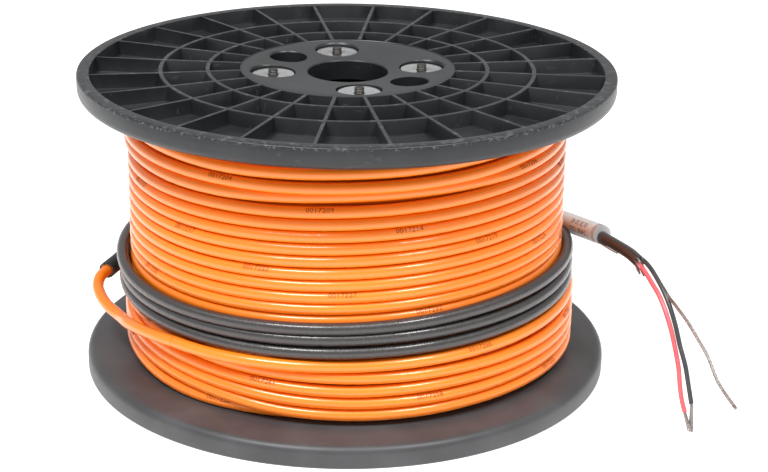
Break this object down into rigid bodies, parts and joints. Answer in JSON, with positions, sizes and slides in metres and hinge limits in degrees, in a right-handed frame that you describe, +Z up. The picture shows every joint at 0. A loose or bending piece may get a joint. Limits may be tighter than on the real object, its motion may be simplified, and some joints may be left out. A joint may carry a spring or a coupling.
{
  "type": "heating cable",
  "caption": "Electric floor heating cable wound on a black moulded reel, with a spliced cold lead whose end is stripped to its cores and ground braid.",
  "frame": {"origin": "centre of the bottom flange's underside, on the reel's axis, where the reel stands on the floor", "axes": "+Z up along the reel's axis; -Y is the side that faces the viewer, with the cold lead's end towards +X"},
  "size_m": [0.2972, 0.254, 0.1474],
  "materials": {
    "black_plastic": "moulded black plastic with a dull gloss and scuffed edges",
    "zinc_steel": "bright zinc-plated pressed steel",
    "rod_steel": "dark oiled threaded steel",
    "orange_jacket": "glossy orange cable jacket with small printed numbers",
    "black_jacket": "black cable jacket with the braid showing through as fine ripples",
    "shrink_sleeve": "black heat-shrink tube",
    "label_film": "printed white film with a clear end",
    "red_insulation": "smooth red wire insulation",
    "black_insulation": "smooth black wire insulation",
    "tinned_copper": "tinned copper strands"
  },
  "bodies": {
    "root": {"bottom_flange": "black_plastic", "top_flange": "black_plastic", "barrel": "black_plastic", "tie_rod_1": "rod_steel", "tie_rod_2": "rod_steel", "tie_rod_3": "rod_steel", "tie_rod_4": "rod_steel", "bottom_washer_1": "zinc_steel", "bottom_washer_2": "zinc_steel", "bottom_washer_3": "zinc_steel", "bottom_washer_4": "zinc_steel", "top_washer_1": "zinc_steel", "top_washer_2": "zinc_steel", "top_washer_3": "zinc_steel", "top_washer_4": "zinc_steel", "cable_winding": "orange_jacket", "cold_lead_turns": "black_jacket", "cold_lead_tail": "black_jacket", "label_sleeve": "label_film", "black_core": "black_insulation", "red_core": "red_insulation", "ground_braid": "tinned_copper", "black_core_strands": "tinned_copper", "red_core_strands": "tinned_copper", "heating_cable_tail": "orange_jacket", "splice_sleeve": "shrink_sleeve"}
  },
  "joints": []
}
